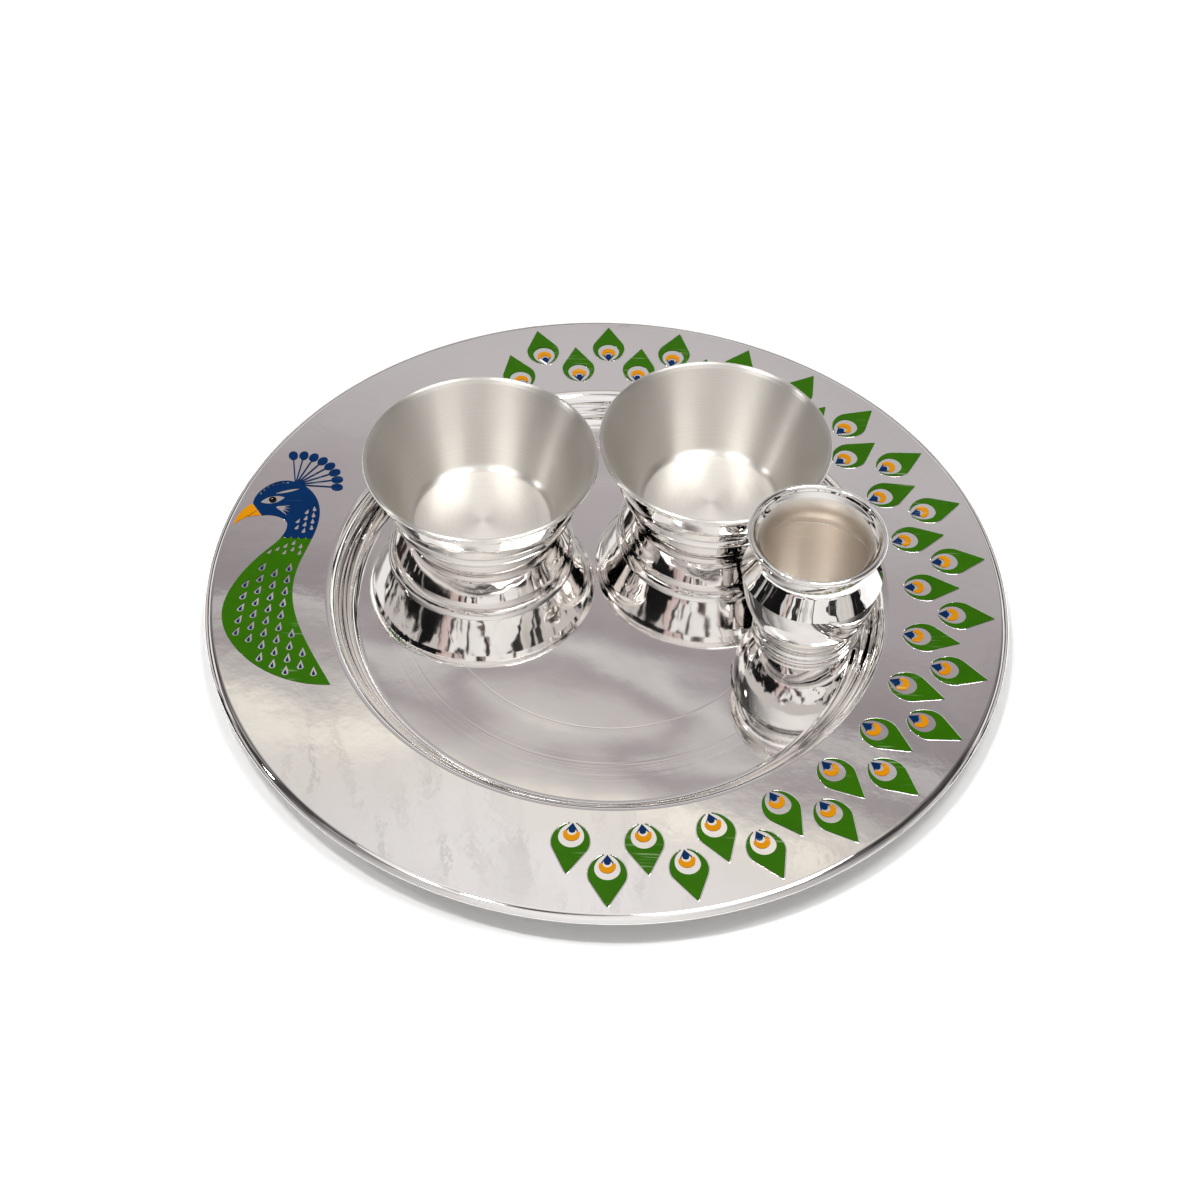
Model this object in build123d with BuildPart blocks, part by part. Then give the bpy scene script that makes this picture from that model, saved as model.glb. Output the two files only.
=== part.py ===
"""Puja thali: a wide-rimmed tray with peacock enamel, two loose bowls and a small lota.

The origin is on the tray's axis at its flat underside. +Z points up and -Y towards the person
who holds the tray. All sizes are in millimetres, all angles in degrees.
"""

import os
from math import acos, asin, atan2, cos, degrees, hypot, radians, sin, sqrt, tan

from build123d import *

os.makedirs("parts", exist_ok=True)

# Tray: one disc of sheet, spun to a shallow well inside a wide flat rim
tray_radius = 140.0
tray_sheet = 1.0
rim_width = 45.9  # from the outer edge to the top corner of the well's wall
rim_rise = 10.0  # from the well's floor to the rim, on the upper side
wall_slope = 78.0  # of the well's wall, from level
wall_bend = 5.8  # bend at the foot and at the top of the wall
edge_turn = 1.4  # the outer edge is turned down at 45 degrees by this much
edge_bend = 4.2

# Bowls: straight flared cups with a turned-out lip, and a half-round ring round the waist
bowl_base = 27.7  # radius where the wall's line meets the base
bowl_lip = 41.9
bowl_height = 33.6
bowl_wall = 1.0
base_bend = 4.2
lip_slope = 48.0  # of the turned-out lip, from level
lip_length = 1.3
lip_bend = 1.5
lip_hem = 0.9  # radius of the rolled edge
ring_low = 9.8
ring_high = 16.2
ring_proud = 1.1

# Lota: a drawn lower half, a spun neck half that laps over it at the belly ridge, and a foot ring
ridge_radius = 24.0
ridge_height = 28.9
ridge_lap = 0.5  # the neck half stands out past the lower half by this much
throat_radius = 18.7
throat_height = 10.6  # from the ridge
throat_bend = 7.5
mouth_radius = 23.6
mouth_hem = 1.1
lota_wall = 0.9
lota_base = 15.8
foot_radius = 18.2
foot_height = 3.5
foot_width = 5.2
foot_round = 1.5  # how far the foot ring's side bulges

# How the vessels stand in the well
right_bowl_angle = 53.2
right_bowl_inset = 0.9  # from the bowl's foot to the edge of the flat floor
left_bowl_inset = 3.3
lota_inset = 0.7
bowl_gap = 0.6  # between the two bowls' lips
lota_gap = 0.7  # between the right bowl's lip and the lota's ridge

# Enamel: thin coloured fields on the flat rim, with a fine line of bare metal between colours
enamel_depth = 0.2
enamel_line = 0.25

# Feather eyes, two staggered rows with their tips outwards
feather_length = 19.4
feather_half_width = 6.05
feather_widest = 7.3  # from the base
horn_half_gap = 1.05
horn_width = 0.15
field_radius = 4.1  # bare field round the eye
field_centre = 5.4
amber_radius = 2.7
amber_centre = 4.2
pupil_radius = 1.5  # bare dot in the amber
pupil_centre = 3.3
spade_length = 3.0
spade_half_width = 1.95
spade_drop_radius = 1.1
spade_drop_centre = 2.6
row_step = 11.4  # between the bases of the two rows
feather_margin = 2.0  # from the outer row's tips to the edge's bend
feather_pitch = 12.0
outer_row_first = -88.7
outer_row_count = 17
inner_row_count = 18

# Peacock: head, crest and neck on the left of the rim, measured from a point on the rim
peacock_inset = 23.5  # from the tray's edge to that point
beak_root_top = (-12.4, 31.6)
crown_points = ((-10.2, 38.4), (-2.4, 43.6), (6.0, 40.6))
nape_points = ((11.8, 30.4), (11.2, 17.0), (7.6, 2.0), (7.4, -12.0), (12.4, -28.0))
train_tip = (25.0, -51.0)
breast_points = ((8.0, -48.6), (-8.0, -37.4), (-15.6, -22.4), (-12.8, -5.4), (-4.4, 9.0))
throat_points = ((0.8, 17.6), (0.6, 23.4), (-3.4, 25.8))
beak_root_low = (-8.4, 25.8)
beak_brow = (-15.4, 28.2)
beak_tip = (-17.8, 20.8)
beak_jaw = (-13.4, 24.8)
mouth_line = 0.35  # bare line between the two halves of the beak
mouth_corner = (-10.2, 28.2)
eye_centre = (-5.6, 33.8)
eye_radius = 1.4
eye_glint = 0.35
eye_field_length = 9.2  # bare almond round the eye
eye_field_height = 3.8
brow_centre = (-0.8, 38.4)
brow_length = 10.4
brow_height = 1.5
face_tilt = 19.0  # of the almond and the brow's bare streak
cheek_root = (-3.2, 30.2)
cheek_feathers = 4
cheek_first = -46.0  # direction of the lowest bare feather
cheek_sweep = 60.0
cheek_length = 7.0
cheek_radius = 0.7
crown_centre = (-2.2, 34.1)
crown_reach = 7.9  # radius of the row of bare scales along the crown
scale_count = 6
scale_first = 87.0
scale_sweep = 72.0
scale_radius = 0.9
scale_line = 0.4
plume_root = (1.6, 41.8)
plume_count = 8
plume_first = -2.0
plume_sweep = 102.0
plume_reach = 15.2  # from the root to the middle of a plume's tip
plume_width = 0.5
plume_tip_length = 4.4
plume_tip_width = 3.4
collar_height = 16.4  # the blue of the head ends and the green of the neck begins
collar_scallop = 1.3  # radius of the scallops along that line
collar_scallops = 11
face_radius = 12.6  # round the eye, kept free of drops
breast_top = 2.0  # small drops above this height, large ones below
drop_focus = (9.0, 36.0)  # the drops' points aim at it
large_drop_length = 4.6
large_drop_radius = 1.15
large_drop_pitch = 5.5
small_drop_length = 2.9
small_drop_radius = 0.7
small_drop_pitch = 3.1
drop_margin = 0.7  # from a drop's round end to the edge of its field
drop_core = 0.45  # size of the blue core inside a large drop, as a share of the drop

# Heights and radii that the pieces share
floor_top = tray_sheet
rim_top = floor_top + rim_rise
wall_top = tray_radius - rim_width
wall_foot = wall_top - rim_rise / tan(radians(wall_slope))
wall_length = rim_rise / sin(radians(wall_slope))
bend_reach = tan(radians(wall_slope / 2))  # length of wall that a bend of unit radius takes up
bend = min(wall_bend, 0.47 * wall_length / bend_reach)
floor_edge = wall_foot - bend * bend_reach
edge_reach = tan(radians(45 / 2))
edge_round = min(edge_bend, 0.9 * edge_turn * sqrt(2) / edge_reach)
rim_flat_end = tray_radius - edge_turn - edge_round * edge_reach

# The bowl's lip ends in a hem that touches the lip's radius and the bowl's height
lip_run = Vector(cos(radians(lip_slope)), sin(radians(lip_slope)))
lip_side = Vector(-sin(radians(lip_slope)), cos(radians(lip_slope)))
hem_centre = Vector(bowl_lip - lip_hem, bowl_height - lip_hem)
lip_end = hem_centre - lip_side * (bowl_wall / 2)
crease = lip_end - lip_run * lip_length
wall_lean = atan2(crease.X - bowl_base, crease.Y)
bowl_foot = bowl_base - base_bend * tan((radians(90) - wall_lean) / 2)

# Each vessel's foot stays on the flat floor, and the lips keep clear of each other
foot_flat = foot_radius - foot_round
right_reach = floor_edge - bowl_foot - right_bowl_inset
left_reach = floor_edge - bowl_foot - left_bowl_inset
lota_reach = floor_edge - foot_flat - lota_inset


def angle_between(reach_a, reach_b, spacing):
    """Angle at the tray's axis between two places that are a given spacing apart."""
    return degrees(acos((reach_a**2 + reach_b**2 - spacing**2) / (2 * reach_a * reach_b)))


bowl_spacing = 2 * bowl_lip + bowl_gap
lota_spacing = bowl_lip + max(ridge_radius, mouth_radius) + lota_gap
left_bowl_angle = right_bowl_angle + angle_between(right_reach, left_reach, bowl_spacing)
lota_angle = right_bowl_angle - angle_between(right_reach, lota_reach, lota_spacing)


def standing_place(reach, angle):
    """Upright plane for a vessel's half section, on the well's floor at a polar place."""
    spot = (reach * cos(radians(angle)), reach * sin(radians(angle)), floor_top)
    return Plane(origin=spot, x_dir=(1, 0, 0), z_dir=(0, -1, 0))


def finish(piece, name):
    """Label a finished piece and write it to its file."""
    piece.part.label = name
    export_step(piece.part, f"parts/{name}.step")


# Tray
with BuildPart() as tray:
    with BuildSketch(Plane.XZ):
        with BuildLine():
            FilletPolyline(
                (0, floor_top),
                (wall_foot, floor_top),
                (wall_top, rim_top),
                (tray_radius - edge_turn, rim_top),
                (tray_radius, rim_top - edge_turn),
                radius=(bend, bend, edge_round),
            )
            offset(amount=tray_sheet, side=Side.RIGHT)
        make_face()
    revolve(axis=Axis.Z)
finish(tray, "thali_tray")

# Bowls, each a cup and its waist ring
bowl_places = {
    "left": standing_place(left_reach, left_bowl_angle),
    "right": standing_place(right_reach, right_bowl_angle),
}
for side, place in bowl_places.items():
    upright = Axis(place.origin, (0, 0, 1))
    with BuildPart() as cup:
        with BuildSketch(place):
            with BuildLine():
                FilletPolyline((0, 0), (bowl_base, 0), crease, lip_end, radius=(base_bend, lip_bend))
                offset(amount=bowl_wall, side=Side.LEFT)
            make_face()
            with Locations(hem_centre):
                Circle(lip_hem)
        revolve(axis=upright)
    finish(cup, f"{side}_bowl_cup")

    with BuildPart() as waist_ring:
        with BuildSketch(place):
            with BuildLine():
                seat = Line(
                    (bowl_base + ring_low * tan(wall_lean), ring_low),
                    (bowl_base + ring_high * tan(wall_lean), ring_high),
                )
                SagittaArc(seat @ 1, seat @ 0, ring_proud)
            make_face()
        revolve(axis=upright)
    finish(waist_ring, f"{side}_bowl_waist_ring")

# Lota, from the floor up: foot ring, lower half, neck half
lota_place = standing_place(lota_reach, lota_angle)
lota_axis = Axis(lota_place.origin, (0, 0, 1))
foot_inner = foot_radius - foot_width
with BuildPart() as foot_ring:
    with BuildSketch(lota_place):
        with BuildLine():
            ThreePointArc((foot_flat, 0), (foot_radius, foot_height / 2), (foot_flat, foot_height))
            Polyline(
                (foot_flat, foot_height), (foot_inner, foot_height), (foot_inner, 0), (foot_flat, 0)
            )
        make_face()
    revolve(axis=lota_axis)
finish(foot_ring, "lota_foot_ring")

with BuildPart() as lower_half:
    with BuildSketch(lota_place):
        with BuildLine():
            Line((0, foot_height), (lota_base, foot_height))
            TangentArc(
                (ridge_radius - ridge_lap, ridge_height), (lota_base, foot_height), tangent=(0, -1)
            )
            offset(amount=lota_wall, side=Side.LEFT)
        make_face()
    revolve(axis=lota_axis)
finish(lower_half, "lota_lower_half")

# The shoulder's line leaves the ridge and touches the throat's bend, which ends inside the mouth's hem
throat_run = throat_radius + throat_bend - ridge_radius
throat_distance = hypot(throat_run, throat_height)
shoulder_heading = atan2(throat_height, throat_run) + asin(throat_bend / throat_distance)
shoulder_length = sqrt(throat_distance**2 - throat_bend**2)
hem_bend = throat_bend + lota_wall / 2
hem_reach = mouth_radius - mouth_hem
hem_angle = acos((throat_radius + throat_bend - hem_reach) / hem_bend)
throat_turn = degrees(shoulder_heading + hem_angle) - 90
mouth_level = ridge_height + throat_height + hem_bend * sin(hem_angle)
lap_start = (
    ridge_radius - lota_wall * cos(shoulder_heading),
    ridge_height - lota_wall * sin(shoulder_heading),
)
with BuildPart() as neck_half:
    with BuildSketch(lota_place):
        with BuildLine():
            shoulder = PolarLine(lap_start, lota_wall + shoulder_length, degrees(shoulder_heading))
            JernArc(shoulder @ 1, shoulder % 1, throat_bend, -throat_turn)
            offset(amount=lota_wall, side=Side.LEFT)
        make_face()
        with Locations((ridge_radius, ridge_height)):
            Rectangle(
                4 * lota_wall, 4 * lota_wall, align=(Align.CENTER, Align.MAX), mode=Mode.SUBTRACT
            )
        with Locations((hem_reach, mouth_level)):
            Circle(mouth_hem)
    revolve(axis=lota_axis)
finish(neck_half, "lota_neck_half")

# Feather eyes: one feather along +X from its base, drawn in each of its three colours
tip_angle = degrees(asin(feather_half_width / (feather_length - feather_widest)))
with BuildSketch() as feather_green:
    with BuildLine():
        JernArc((field_centre, field_radius), (1, 0), field_radius, -90)
        TangentArc((field_centre, field_radius), (0, horn_half_gap - horn_width), tangent=(-1, 0))
        Line((0, horn_half_gap - horn_width), (0, horn_half_gap))
        TangentArc((feather_widest, feather_half_width), (0, horn_half_gap), tangent=(-1, 0))
        crown = JernArc((feather_widest, feather_half_width), (1, 0), feather_half_width, -tip_angle)
        Line(crown @ 1, (feather_length, 0))
        mirror(about=Plane.XZ)
    make_face()

with BuildSketch() as feather_amber:
    with Locations((amber_centre, 0)):
        Circle(amber_radius)
    with Locations((pupil_centre, 0)):
        Circle(pupil_radius, mode=Mode.SUBTRACT)
    with Locations((spade_length + enamel_line, 0)):
        Rectangle(
            2 * amber_radius, 2 * amber_radius, align=(Align.MAX, Align.CENTER), mode=Mode.SUBTRACT
        )

with BuildSketch() as feather_blue:
    with BuildLine():
        Polyline((0, 0), (spade_length, spade_half_width), (spade_length, -spade_half_width), close=True)
    make_face()
    with Locations((pupil_centre, 0)):
        Circle(pupil_radius, mode=Mode.SUBTRACT)
    with Locations((spade_drop_centre, 0)):
        Circle(spade_drop_radius)

rim_plane = Plane.XY.offset(rim_top)
outer_base = rim_flat_end - feather_margin - feather_length
feather_rows = (
    (outer_base, outer_row_count, outer_row_first),
    (outer_base - row_step, inner_row_count, outer_row_first - feather_pitch / 2),
)
feather_colours = {"green": feather_green, "amber": feather_amber, "blue": feather_blue}
for colour, motif in feather_colours.items():
    with BuildPart() as feathers:
        with BuildSketch(rim_plane):
            for base, count, first in feather_rows:
                with PolarLocations(base, count, first, (count - 1) * feather_pitch, endpoint=True):
                    add(motif.sketch)
        extrude(amount=enamel_depth)
    finish(feathers, f"feather_{colour}_enamel")

# Peacock: one outline of head and neck, parted into a blue head and a green neck by a scalloped collar
with BuildSketch() as bird:
    with BuildLine():
        Spline(beak_root_top, *crown_points, *nape_points, train_tip)
        Spline(train_tip, *breast_points, *throat_points, beak_root_low)
        Line(beak_root_low, beak_root_top)
    make_face()
bird_box = bird.sketch.bounding_box()

with BuildSketch() as collar:
    with Locations((bird_box.center().X, collar_height)):
        Rectangle(bird_box.size.X, bird_box.size.Y, align=(Align.CENTER, Align.MIN))
        with GridLocations(2 * collar_scallop, 1, collar_scallops, 1):
            Circle(collar_scallop)

with BuildSketch() as head:
    add(bird.sketch)
    add(collar.sketch, mode=Mode.INTERSECT)

with BuildSketch() as neck:
    add(bird.sketch)
    add(offset(collar.sketch, amount=enamel_line, mode=Mode.PRIVATE), mode=Mode.SUBTRACT)

with BuildSketch() as nape:
    add(head.sketch)
    with Locations(eye_centre):
        Circle(face_radius, mode=Mode.SUBTRACT)


def drop_sketch(length, radius):
    """A drop with its round end about the origin and its point along the X axis."""
    point = length - radius
    lean = asin(radius / point)
    shoulder = (radius * sin(lean), radius * cos(lean))
    with BuildSketch() as drop:
        Circle(radius)
        with BuildLine():
            half = Polyline((0, 0), shoulder, (point, 0))
            mirror(half, about=Plane.XZ)
        make_face()
    return drop.sketch


def almond_sketch(length, height):
    """Two equal arcs that meet in points at both ends of the X axis."""
    with BuildSketch() as almond:
        with BuildLine():
            upper = ThreePointArc((-length / 2, 0), (0, height / 2), (length / 2, 0))
            mirror(upper, about=Plane.XZ)
        make_face()
    return almond.sketch


def drop_places(field, radius, pitch):
    """Staggered places that keep a drop's round end inside a field, turned towards the drops' focus."""
    inside = offset(field, amount=-radius - drop_margin, mode=Mode.PRIVATE).faces()
    box = field.bounding_box()
    columns = int(box.size.X / pitch) + 2
    rows = int(box.size.Y / (pitch * sin(radians(60)))) + 2
    spots = [place.position + box.center() for place in HexLocations(pitch / 2, columns, rows)]
    spots = [spot for spot in spots if any(face.is_inside(spot) for face in inside)]
    turns = [degrees(atan2(drop_focus[1] - spot.Y, drop_focus[0] - spot.X)) for spot in spots]
    return [Location(spot, (0, 0, turn)) for spot, turn in zip(spots, turns)]


large_drop = drop_sketch(large_drop_length, large_drop_radius)
small_drop = drop_sketch(small_drop_length, small_drop_radius)
cheek_feather = drop_sketch(cheek_length, cheek_radius)
large_places = drop_places(neck.sketch, large_drop_radius, large_drop_pitch)
large_places = [place for place in large_places if place.position.Y < breast_top]
small_places = drop_places(neck.sketch, small_drop_radius, small_drop_pitch)
small_places = [place for place in small_places if place.position.Y > breast_top + large_drop_length]
nape_places = drop_places(nape.sketch, small_drop_radius, small_drop_pitch)

peacock_plane = Plane(origin=(peacock_inset - tray_radius, 0, rim_top))
with BuildPart() as peacock_green:
    with BuildSketch(peacock_plane):
        add(neck.sketch)
        with Locations(*large_places):
            add(large_drop, mode=Mode.SUBTRACT)
        with Locations(*small_places):
            add(small_drop, mode=Mode.SUBTRACT)
    extrude(amount=enamel_depth)
finish(peacock_green, "peacock_green_enamel")

with BuildSketch() as plume:
    Rectangle(plume_reach, plume_width, align=(Align.MIN, Align.CENTER))
    with Locations((plume_reach, 0)):
        Ellipse(plume_tip_length / 2, plume_tip_width / 2)

with BuildSketch() as crown_scale:
    Circle(scale_radius)
    with Locations((-scale_line, 0)):
        Circle(scale_radius, mode=Mode.SUBTRACT)

with BuildPart() as peacock_blue:
    with BuildSketch(peacock_plane):
        add(head.sketch)
        with Locations(plume_root):
            with PolarLocations(0, plume_count, plume_first, plume_sweep, endpoint=True):
                add(plume.sketch)
        with Locations(Location(eye_centre, face_tilt)):
            add(almond_sketch(eye_field_length, eye_field_height), mode=Mode.SUBTRACT)
        with Locations(Location(brow_centre, face_tilt)):
            add(almond_sketch(brow_length, brow_height), mode=Mode.SUBTRACT)
        with Locations(cheek_root):
            with PolarLocations(0, cheek_feathers, cheek_first, cheek_sweep, endpoint=True):
                add(cheek_feather, mode=Mode.SUBTRACT)
        with Locations(crown_centre):
            with PolarLocations(crown_reach, scale_count, scale_first, scale_sweep, endpoint=True):
                add(crown_scale.sketch, mode=Mode.SUBTRACT)
        with Locations(*nape_places):
            add(small_drop, mode=Mode.SUBTRACT)
        with Locations(*large_places):
            add(scale(large_drop, drop_core, mode=Mode.PRIVATE))
    extrude(amount=enamel_depth)
finish(peacock_blue, "peacock_blue_enamel")

with BuildPart() as peacock_beak:
    with BuildSketch(peacock_plane):
        with BuildLine():
            Spline(beak_root_top, beak_brow, beak_tip)
            Spline(beak_tip, beak_jaw, beak_root_low)
            Line(beak_root_low, beak_root_top)
        make_face()
        add(offset(bird.sketch, amount=enamel_line, mode=Mode.PRIVATE), mode=Mode.SUBTRACT)
        with BuildLine():
            Line(mouth_corner, beak_tip)
        trace(line_width=mouth_line, mode=Mode.SUBTRACT)
    extrude(amount=enamel_depth)
finish(peacock_beak, "peacock_beak_enamel")

with BuildPart() as peacock_eye:
    with BuildSketch(peacock_plane):
        with Locations(eye_centre):
            Circle(eye_radius)
            with Locations((-eye_radius / 3, eye_radius / 3)):
                Circle(eye_glint, mode=Mode.SUBTRACT)
    extrude(amount=enamel_depth)
finish(peacock_eye, "peacock_eye_enamel")
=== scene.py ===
"""Puja thali: a silver-plated tray with peacock enamel round its rim, two loose bowls and a small lota.

Lengths are in metres, in the frame of the solids: Z is the tray's axis, and -Y faces the person who holds it.
"""

import bpy
import numpy as np
from mathutils import Matrix, Vector


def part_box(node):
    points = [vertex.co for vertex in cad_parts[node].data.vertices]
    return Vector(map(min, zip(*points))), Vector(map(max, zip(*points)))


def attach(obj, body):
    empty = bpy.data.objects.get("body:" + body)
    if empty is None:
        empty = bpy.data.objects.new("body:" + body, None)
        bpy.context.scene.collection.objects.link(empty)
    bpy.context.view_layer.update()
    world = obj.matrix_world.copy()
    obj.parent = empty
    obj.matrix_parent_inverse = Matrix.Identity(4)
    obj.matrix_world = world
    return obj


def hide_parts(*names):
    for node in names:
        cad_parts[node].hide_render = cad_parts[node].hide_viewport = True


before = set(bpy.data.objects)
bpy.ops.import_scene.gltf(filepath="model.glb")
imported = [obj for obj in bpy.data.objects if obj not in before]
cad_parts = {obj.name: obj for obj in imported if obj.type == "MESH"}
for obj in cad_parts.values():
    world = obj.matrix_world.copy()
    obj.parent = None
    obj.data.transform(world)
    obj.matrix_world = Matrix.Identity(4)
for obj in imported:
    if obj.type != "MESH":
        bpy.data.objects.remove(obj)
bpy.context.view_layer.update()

# Tray: one disc of brass sheet, spun over a form into a shallow well inside a wide flat rim, its edge turned
# down. It is silver plated and buffed to a mirror, which shows the room, the vessels and every unevenness.
mm = 0.001
tray_low, tray_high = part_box("thali_tray")
tray_radius = tray_high.x
tray_sheet = 1.0 * mm
floor_top = tray_low.z + tray_sheet
rim_top = tray_high.z
rim_width = 45.9 * mm
wall_slope = np.radians(78)
wall_bend = 5.8 * mm
edge_turn = 1.4 * mm
edge_bend = 4.2 * mm
edge_slope = np.radians(45)
bead_points = 13


def bent_line(corners, radii, spacing, bend_steps=14):
    """Straight runs joined by tangent arcs, as points along the line and its heading at each of them.

    A corner that turns by an angle with radius R takes R tan(angle / 2) off both of its runs. The arc's
    points lie R to the outer side of its middle, square to a heading that goes evenly from the first run's
    to the second's.
    """
    corners = np.asarray(corners, float)
    runs = np.diff(corners, axis=0)
    lengths = np.linalg.norm(runs, axis=1)
    headings = np.unwrap(np.arctan2(runs[:, 1], runs[:, 0]))
    turns = np.diff(headings)
    taken = np.concatenate([[0], np.asarray(radii) * np.tan(np.abs(turns) / 2), [0]])
    points, along = [], []
    for run, heading in enumerate(headings):
        way = runs[run] / lengths[run]
        start = corners[run] + way * taken[run]
        end = corners[run + 1] - way * taken[run + 1]
        count = 1 + int(np.ceil(max(0, (end - start) @ way) / spacing))
        points.append(start + np.linspace(0, 1, count)[:, None] * (end - start))
        along.append(np.full(count, heading))
        if run < len(turns):
            swept = heading + turns[run] * np.linspace(0, 1, bend_steps + 1)[1:-1]
            side = np.sign(turns[run]) * radii[run]
            middle = end + side * np.array([-way[1], way[0]])
            points.append(middle - side * np.stack([-np.sin(swept), np.cos(swept)], axis=1))
            along.append(swept)
    return np.concatenate(points), np.concatenate(along)


def sheet_section(line, headings, thickness, bead, side):
    """Half section of a sheet whose edge ends in a round bead, as points and outward normals.

    The sheet lies to the left of the line for side 1, and to its right for side -1. The section runs out
    along the sheet's left face and back along its right one, each the middle line plus or minus a half width
    along its normal. The half width swells to the bead's radius by a smooth step, three times as long as it
    is high, and a half circle of points closes the edge.
    """
    way = np.stack([np.cos(headings), np.sin(headings)], axis=1)
    left = np.stack([-way[:, 1], way[:, 0]], axis=1)
    middle = line + side * left * thickness / 2
    run = np.concatenate([[0], np.cumsum(np.linalg.norm(np.diff(middle, axis=0), axis=1))])
    swell = bead - thickness / 2
    reach = max(3 * swell, 0.01 * mm)
    share = np.clip((run - run[-1] + reach) / reach, 0, 1)[:, None]
    half = thickness / 2 + swell * share**2 * (3 - 2 * share)
    slope = swell * 6 * share * (1 - share) / reach
    swing = np.linspace(np.pi / 2, -np.pi / 2, bead_points + 2)[1:-1, None]
    tip = np.cos(swing) * way[-1] + np.sin(swing) * left[-1]
    points = np.concatenate([middle + left * half, middle[-1] + bead * tip, (middle - left * half)[::-1]])
    normals = np.concatenate([left - way * slope, tip, (-left - way * slope)[::-1]])
    return points, normals / np.linalg.norm(normals, axis=1, keepdims=True)


def lathe(pairs, around):
    """Each (r, z) pair at each turn a of a circle, as (r cos a, r sin a, z)."""
    turn = np.linspace(0, 2 * np.pi, around, endpoint=False)
    level = np.broadcast_to(pairs[:, 1:], (len(pairs), around))
    return np.stack([pairs[:, :1] * np.cos(turn), pairs[:, :1] * np.sin(turn), level], axis=-1).reshape(-1, 3)


def spun_piece(name, section, normals, spot, around, lining=0, ring=False):
    """Surface of revolution of a section of (r, z) points about an upright axis at a spot.

    A ring's section closes on itself. Any other starts and ends on the axis and closes there in fans of
    triangles. The first steps of the section, as many as the lining has, take the second material. The UV map
    holds the turn as a share of a whole one, and the run along the section in metres.
    """
    closed = np.concatenate([section, section[:1]]) if ring else section
    run = np.concatenate([[0], np.cumsum(np.linalg.norm(np.diff(closed, axis=0), axis=1))])
    rows = slice(None) if ring else slice(1, -1)
    points = lathe(section[rows], around)
    facing = lathe(normals[rows], around)
    ids = np.arange(len(points)).reshape(-1, around)
    ids = np.concatenate([ids, ids[:1]]) if ring else ids
    ahead = np.roll(ids, -1, axis=1)
    faces = np.stack([ids[:-1], ids[1:], ahead[1:], ahead[:-1]], axis=-1).reshape(-1, 4).tolist()
    turn = np.arange(around + 1) / around
    low, high = run[rows][:-1], run[rows][1:]
    u = np.stack([turn[:-1], turn[:-1], turn[1:], turn[1:]], axis=-1)[None]
    v = np.stack([low, high, high, low], axis=-1)[:, None]
    uv = [np.stack(np.broadcast_arrays(u, v), axis=-1).reshape(-1, 2)]
    steps = [np.repeat(np.arange(len(low)) + (not ring), around)]
    if not ring:
        start, end = len(points), len(points) + 1
        points = np.concatenate([points, [(0, 0, section[0, 1]), (0, 0, section[-1, 1])]])
        facing = np.concatenate([facing, [(0, 0, normals[0, 1]), (0, 0, normals[-1, 1])]])
        faces += np.stack([np.full(around, start), ids[0], ahead[0]], axis=1).tolist()
        faces += np.stack([np.full(around, end), ahead[-1], ids[-1]], axis=1).tolist()
        middle = (turn[:-1] + turn[1:]) / 2
        u = np.stack([middle, turn[:-1], turn[1:], middle, turn[1:], turn[:-1]]).reshape(2, 3, around)
        v = run[[0, 1, 1, -1, -2, -2]].reshape(2, 3, 1)
        uv.append(np.stack(np.broadcast_arrays(u, v), axis=-1).transpose(0, 2, 1, 3).reshape(-1, 2))
        steps += [np.zeros(around), np.full(around, len(section))]
    mesh = bpy.data.meshes.new(name)
    mesh.from_pydata((points + np.array(spot)).tolist(), [], faces)
    mesh.polygons.foreach_set("use_smooth", np.ones(len(faces), bool))
    mesh.polygons.foreach_set("material_index", (np.concatenate(steps) < lining).astype(np.int32))
    mesh.uv_layers.new(name="spun").uv.foreach_set("vector", np.concatenate(uv).astype(np.float32).ravel())
    mesh.normals_split_custom_set_from_vertices(facing.tolist())
    piece = bpy.data.objects.new(name, mesh)
    bpy.context.scene.collection.objects.link(piece)
    return piece


wall_top = tray_radius - rim_width
wall_foot = wall_top - (rim_top - floor_top) / np.tan(wall_slope)
edge_end = tray_radius - tray_sheet / 2 * (1 - np.sin(edge_slope))
tray_line = bent_line(
    [
        (0, floor_top),
        (wall_foot, floor_top),
        (wall_top, rim_top),
        (tray_radius - edge_turn, rim_top),
        (edge_end, rim_top - (edge_end - tray_radius + edge_turn) * np.tan(edge_slope)),
    ],
    [wall_bend, wall_bend, edge_bend],
    spacing=4 * mm,
)
tray_section = sheet_section(*tray_line, tray_sheet, tray_sheet / 2, -1)
tray = spun_piece("spun_tray", *tray_section, (0, 0, 0), around=360)


def linear(colour):
    """sRGB hex to linear RGBA: c / 12.92 for a channel c up to 0.04045, else ((c + 0.055) / 1.055) ** 2.4."""
    c = np.array([int(colour[i : i + 2], 16) / 255 for i in (1, 3, 5)])
    return (*np.where(c <= 0.04045, c / 12.92, ((c + 0.055) / 1.055) ** 2.4), 1.0)


def add(tree, kind, inputs=(), **settings):
    """One new node with its settings. Each input is set to a value, or linked if it is given a socket."""
    node = tree.nodes.new(kind)
    for name, value in settings.items():
        setattr(node, name, value)
    for name, value in dict(inputs).items():
        if isinstance(value, bpy.types.NodeSocket):
            tree.links.new(value, node.inputs[name])
        else:
            node.inputs[name].default_value = value
    return node


def new_material(name):
    """An empty node material and its Principled shader, already joined to the output."""
    material = bpy.data.materials.new(name)
    material.use_nodes = True
    tree = material.node_tree
    tree.nodes.clear()
    shader = add(tree, "ShaderNodeBsdfPrincipled")
    add(tree, "ShaderNodeOutputMaterial", {"Surface": shader.outputs["BSDF"]})
    return material, tree, shader


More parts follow.
